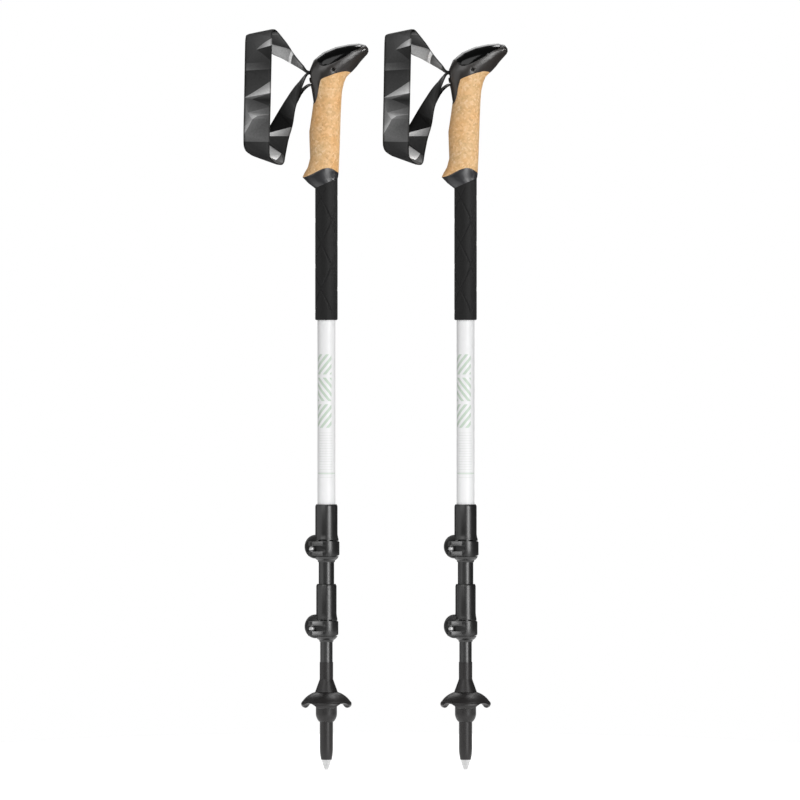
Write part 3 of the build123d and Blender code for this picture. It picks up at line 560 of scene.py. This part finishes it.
# Each facet's corners, then how light it is at each of them, from 0 to 1 as seen: the printed facet pattern
# together with painted highlights and painted shade.
FRONT_FACETS = [
    ("l0 r0 r1", 0.20, 0.20, 0.32), ("l0 r1 a", 0.24, 0.34, 0.28), ("l0 a l1", 0.28, 0.26, 0.22),
    ("a r1 r2", 0.42, 0.70, 0.82), ("a r2 r3", 0.20, 0.16, 0.12), ("a r3 l1", 0.26, 0.20, 0.24),
    ("l1 r3 r4", 0.33, 0.18, 0.22), ("l1 r4 l2", 0.30, 0.24, 0.40), ("l2 r4 r5", 0.18, 0.18, 0.24),
    ("l2 r5 l3", 0.20, 0.22, 0.26), ("l3 r5 r6", 0.62, 0.50, 0.84), ("l3 r6 b", 0.42, 0.48, 0.30),
    ("b r6 r7", 0.18, 0.32, 0.12), ("b r7 r8", 0.14, 0.10, 0.22), ("l3 b c", 0.34, 0.26, 0.40),
    ("b r8 c", 0.26, 0.26, 0.38), ("c r8 r9", 0.50, 0.30, 0.34), ("l3 c l4", 0.35, 0.48, 0.38),
    ("c r9 e", 0.52, 0.42, 0.62), ("c e d", 0.52, 0.74, 0.72), ("c d l4", 0.42, 0.62, 0.46),
    ("e r9 r10", 0.45, 0.33, 0.30), ("d e r10", 0.46, 0.50, 0.30), ("l4 d l5", 0.52, 0.66, 0.64),
    ("d r10 l5", 0.42, 0.30, 0.42), ("l5 r10 r11", 0.42, 0.28, 0.36), ("l5 r11 l6", 0.40, 0.36, 0.36),
    ("l6 r11 r12", 0.18, 0.24, 0.20), ("l6 r12 l7", 0.19, 0.18, 0.20),
]
# Facets behind the front: lines across the strap, each as (place at the left edge, place at the right
# edge), how light the strap is just before the line at its left and right end, and just after it.
# This lightness is the printed pattern with painted highlights and painted shade.
UPPER_LINES = [
    (0.0, 0.0, 0, 0, 0.12, 0.10), (1.5, 1.9, 0.20, 0.25, 0.28, 0.45), (2.85, 3.6, 0.30, 0.22, 0.66, 0.56),
    (3.1, 4.1, 0.70, 0.64, 0.50, 0.38), (7.2, 4.16, 0.44, 0.36, 0.20, 0.14),
    (7.8, 6.6, 0.14, 0.20, 0.30, 0.24), (8.6, 7.6, 0.30, 0.14, 0.14, 0.05),
]
FRONT_LIGHTS = (0.16, 0.10, 0, 0)          # the same for the line where the front starts
LOWER_LINES = [
    (18.65, 17.74, 0, 0, 0.10, 0.08), (19.0, 19.2, 0.16, 0.10, 0.66, 0.24),
    (19.16, 19.88, 0.64, 0.26, 0.04, 0.03), (20.6, 20.3, 0.05, 0.06, 0.06, 0.10),
    (21.7, 21.2, 0.14, 0.18, 0.12, 0.16), (22.9, 22.5, 0.20, 0.10, 0.30, 0.12),
    (23.7, 23.6, 0.14, 0.40, 0.10, 0.24), (25.0, 25.0, 0.10, 0.10, 0, 0),
]
# Where the strap turns at the bottom: places as (across, along), and its facets, whose lightness includes a
# painted highlight along the fold.
TURN_POINTS = {
    "p0": (-1, 15.6), "q0": (1, 15.9), "p1": (-1, 17.0), "s1": (0.36, 16.9), "q1": (1, 16.7),
    "p2": (-1, 18.65), "s2": (0.65, 17.9), "q2": (1, 17.74),
}
TURN_FACETS = [
    ("l7 r12 p0", 0.20, 0.18, 0.14), ("r12 q0 p0", 0.18, 0.26, 0.14), ("p0 q0 q1", 0.2, 0.32, 0.22),
    ("p0 q1 s1", 0.2, 0.24, 0.3), ("p0 s1 p1", 0.2, 0.3, 0.25), ("p1 s1 s2", 0.62, 0.74, 0.4),
    ("p1 s2 p2", 0.64, 0.4, 0.42), ("s1 q1 s2", 0.26, 0.34, 0.2), ("q1 q2 s2", 0.3, 0.16, 0.15),
    ("p2 s2 q2", 0.1, 0.08, 0.08),
]
# The tail's lightness along its length: painted light and shade as it bends.
TAIL_LIGHTS = (0.10, 0.30, 0.42, 0.16, 0.12, 0.14, 0.10, 0.08, 0.08)
FRONT_SEARCH, SEARCH_STEPS = (9.0, 14.6), 30          # the stations between which the front's points lie


def front_place(u, z):
    """The place along the loop of a point of its flat front, from the height there in millimetres."""
    low, high = FRONT_SEARCH
    for _ in range(SEARCH_STEPS):
        middle = (low + high) / 2
        left, right = (curve_point(edge, middle).z for edge in STRAP_EDGES)
        if (1 - u) / 2 * left + (1 + u) / 2 * right > z:
            low = middle
        else:
            high = middle
    return (low + high) / 2


def strip_facets(lines):
    """Triangles between slanted lines across a strap, each corner with how light it is there."""
    facets = []
    for (l0, r0, _, _, *after), (l1, r1, *before, _, _) in zip(lines, lines[1:]):
        (a, b), (c, d) = after, before
        facets.append(([(-1, l0), (1, r0), (-1, l1)], (a, b, c)))
        facets.append(([(1, r0), (1, r1), (-1, l1)], (b, d, c)))
    return facets


def named_facets(facets, points):
    return [([points[n] for n in names.split()], lights) for names, *lights in facets]


def strap_facets():
    points = {name: (u, front_place(u, z)) for name, (u, z) in FRONT_POINTS.items()} | TURN_POINTS
    front_start = (points["l0"][1], points["r0"][1], *FRONT_LIGHTS)
    return (strip_facets(UPPER_LINES + [front_start]) + named_facets(FRONT_FACETS + TURN_FACETS, points)
            + strip_facets(LOWER_LINES))


def tail_facets():
    """Plain bands across the tail, evenly spaced, each line with one lightness of painted light and shade.
    """
    step = (len(TAIL_STATIONS) - 1) / (len(TAIL_LIGHTS) - 1)
    return strip_facets([(i * step, i * step, *[light] * 4) for i, light in enumerate(TAIL_LIGHTS)])


# ---- strap meshes -------------------------------------------------------------------------------
class Builder:
    """Gathers the vertices and faces of a strap, joining those that coincide."""

    def __init__(self):
        self.vertices, self.faces, self.tones, self.uvs, self.index = [], [], [], [], {}
        self.across = []

    def vertex(self, key, place, uv):
        if key not in self.index:
            self.index[key] = len(self.vertices)
            self.vertices.append(place)
            self.uvs.append(uv)
            self.across.append(key[1])
        return self.index[key]

    def face(self, corners, tones):
        if len(set(corners)) == len(corners):
            self.faces.append(corners)
            self.tones += tones


FACET_SPLITS = 12
EMBOSS, EMBOSS_RISE = 0.28 * MM, 6       # height of a facet's middle, and how steeply its borders rise to it
SEEN_GAMMA = 2.2
# BACK_LIGHT is the share of the facets' painted light and shade that the hidden face gets.
BACK_LIGHT, RIM_TONE = 0.6, 0.006        # the hidden face against the facets, and the tone of the cut rim
KEY_DIGITS = 4                           # places closer than this many decimals are the same vertex


def facet_mesh(ribbon, facets, side, builder):
    """One face of a strap: each facet is split finely, and stands highest in its middle. Each corner's tone
    carries the facet's painted highlights and painted shade.
    """
    n = FACET_SPLITS
    for corners, lights in facets:
        index, tone = {}, {}
        for i in range(n + 1):
            for j in range(n + 1 - i):
                w = (i / n, j / n, (n - i - j) / n)
                u, t = (sum(a * c[k] for a, c in zip(w, corners)) for k in (0, 1))
                lift = EMBOSS * min(1.0, EMBOSS_RISE * min(w)) if side > 0 else 0.0
                uv = (u * ribbon.across(t).length / 2, ribbon.along(t))
                key = (side, round(u, KEY_DIGITS), round(t, KEY_DIGITS))
                index[i, j] = builder.vertex(key, ribbon.point(u, t, side, lift), uv)
                # the facet's lightness, painted highlights and shade included, blended between its corners
                light = sum(a * b for a, b in zip(w, lights)) * (1.0 if side > 0 else BACK_LIGHT)
                tone[i, j] = light ** SEEN_GAMMA
        for i in range(n):
            for j in range(n - i):
                fill_cell(builder, index, tone, [(i, j), (i + 1, j), (i, j + 1)], side)
                if j < n - i - 1:
                    fill_cell(builder, index, tone, [(i + 1, j), (i + 1, j + 1), (i, j + 1)], side)


def fill_cell(builder, index, tone, cells, side):
    cells = cells[::side]
    builder.face(tuple(index[c] for c in cells), [tone[c] for c in cells])


def close_rim(builder):
    """Joins the two faces of a strap along their open borders."""
    edges = {(a, b) for face in builder.faces for a, b in zip(face, face[1:] + face[:1])}
    keys = {index: key for key, index in builder.index.items()}
    for a, b in sorted(edges):
        (side, *ka), (_, *kb) = keys[a], keys[b]
        if side < 0 or (b, a) in edges:
            continue
        other_a, other_b = builder.index.get((-1, *ka)), builder.index.get((-1, *kb))
        if other_a is not None and other_b is not None:
            builder.face((b, a, other_a, other_b), [RIM_TONE] * 4)


def paint(mesh, name, domain, values):
    mesh.attributes.new(name, "FLOAT", domain).data.foreach_set("value", values)


def strap(side, part, stations, facets, size):
    """A strap of one pole, shaped from the head's mouth round its loop; it is not attached to any body."""
    node = f"{side}_{part}"
    width, thickness = size
    ribbon, builder = Ribbon(stations, AXIS_X[side], thickness), Builder()
    for face in (1, -1):
        facet_mesh(ribbon, facets, face, builder)
    close_rim(builder)
    obj = smooth_mesh(f"{node}_webbing", builder.vertices, builder.faces)
    paint(obj.data, "tone", "CORNER", builder.tones)
    paint(obj.data, "across", "POINT", builder.across)
    weave = obj.data.uv_layers.new(name="weave")
    for loop in obj.data.loops:
        weave.data[loop.index].uv = builder.uvs[loop.vertex_index]
    stand_for(obj, node, "webbing", rides=False)
    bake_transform(obj)


# ---- the pieces ---------------------------------------------------------------------------------
GRIP_EDGE, PAD_EDGE, LOCK_EDGE, BASKET_EDGE = 0.35 * MM, 0.15 * MM, 0.3 * MM, 0.35 * MM
MOULDED = [          # each part, its finish, how far its edges are rounded, and its own material
    ("cork_grip", "cork", GRIP_EDGE, None),
    ("grip_head", "satin_plastic", GRIP_EDGE, HEAD_PLASTIC),
    ("grip_top_pad", "gloss_plastic", PAD_EDGE, None),
    ("grip_collar", "gloss_plastic", GRIP_EDGE, COLLAR_PLASTIC),
    ("basket", "satin_plastic", BASKET_EDGE, None),
    *((f"{lock}_lock_{part}", "gloss_plastic", LOCK_EDGE, LOCK_PLASTIC)
      for lock in ("upper", "lower") for part in ("sleeve", "lever")),
]
for side in SIDES:
    foam_grip(side)
    for part, slot, edge, material in MOULDED:
        moulded_copy(f"{side}_{part}", slot, edge, material)
    strap(side, "wrist_strap", STRAP_STATIONS, strap_facets(), (STRAP_WIDTH, STRAP_THICKNESS))
    strap(side, "strap_tail", TAIL_STATIONS, tail_facets(), (TAIL_WIDTH, TAIL_THICKNESS))

own_material = {f"{side}_upper_shaft": white_lacquer(AXIS_X[side]) for side in SIDES}
# blackened, so it doesn't show
own_material |= {f"{side}_strap_pin": HEAD_PLASTIC for side in SIDES}      # dressed in the dark head plastic: painted shade of the pin hole
for row in frame["record"]["subparts"]:
    node = row["node"]
    dress(frame["nodes"][node], row["material_slot"], own_material.get(node))


# ---- studio -------------------------------------------------------------------------------------
MIDDLE, HEADS = (0, 0, 0.36), (0, 0, 0.66)
LIGHTS = [          # name, place, what it is aimed at, size, power in watts, spread in degrees
    ("key", (1.35, -2.2, 0.72), MIDDLE, (1.0, 2.2), 50, 180),
    ("fill", (-2.5, -0.35, 0.6), MIDDLE, (3.4, 2.6), 20, 180),
    ("front", (-1.9, -2.9, 2.5), MIDDLE, (3.0, 2.2), 42, 180),
    ("top", (0.6, 0.9, 2.9), MIDDLE, (0.9, 0.5), 18, 180),
    ("nose", (2.3, -0.5, 1.15), HEADS, (0.4, 0.4), 0.15, 7),
    ("back", (-0.3, 2.2, 2.2), MIDDLE, (2.2, 1.4), 20, 180),
]
FLOOR_RADIUS, FLOOR_CORNERS = 0.55, 96
AMBIENT_STRENGTH, BACKDROP_STRENGTH = 0.09, 1.0
LENS, SENSOR = 250.0, 36.0
FRAME_WIDTH = 0.736             # how much the camera sees at the poles
CAMERA_X, CAMERA_Z = 0.0037, 0.340


def area_light(name, place, aim, size, power, spread):
    light = bpy.data.lights.new(name, "AREA")
    light.shape, light.size, light.size_y = "RECTANGLE", *size
    light.energy, light.spread = power, math.radians(spread)
    obj = add_object(name, light)
    obj.location = place
    obj.rotation_euler = (Vector(aim) - Vector(place)).to_track_quat("-Z", "Y").to_euler()


def studio():
    for light in LIGHTS:
        area_light(*light)
    bpy.ops.mesh.primitive_circle_add(vertices=FLOOR_CORNERS, radius=FLOOR_RADIUS, fill_type="NGON",
                                      location=(0, 0, 0))
    ground = bpy.context.object
    ground.name = "studio_floor"
    ground.data.materials.append(floor_white())


def world():
    """White behind the object, and a dimmer even light on it."""
    scene_world = bpy.data.worlds.new("studio_world")
    scene_world.use_nodes = True
    tree = scene_world.node_tree
    tree.nodes.clear()
    output = tree.nodes.new("ShaderNodeOutputWorld")
    blend = tree.nodes.new("ShaderNodeMixShader")
    path = tree.nodes.new("ShaderNodeLightPath")
    tree.links.new(path.outputs["Is Camera Ray"], blend.inputs["Fac"])
    for socket, strength in ((1, AMBIENT_STRENGTH), (2, BACKDROP_STRENGTH)):
        background = tree.nodes.new("ShaderNodeBackground")
        background.inputs["Color"].default_value = grey(1.0)
        background.inputs["Strength"].default_value = strength
        tree.links.new(background.outputs[0], blend.inputs[socket])
    tree.links.new(blend.outputs[0], output.inputs["Surface"])
    bpy.context.scene.world = scene_world
    bpy.context.scene.view_settings.view_transform = "Standard"


def camera():
    """A long lens, level with the middle of the poles."""
    data = bpy.data.cameras.new("camera")
    data.lens, data.sensor_width = LENS, SENSOR
    obj = add_object("camera", data)
    obj.location = (CAMERA_X, -LENS / SENSOR * FRAME_WIDTH, CAMERA_Z)
    obj.rotation_euler = (math.pi / 2, 0, 0)
    bpy.context.scene.camera = obj


studio()
world()
camera()
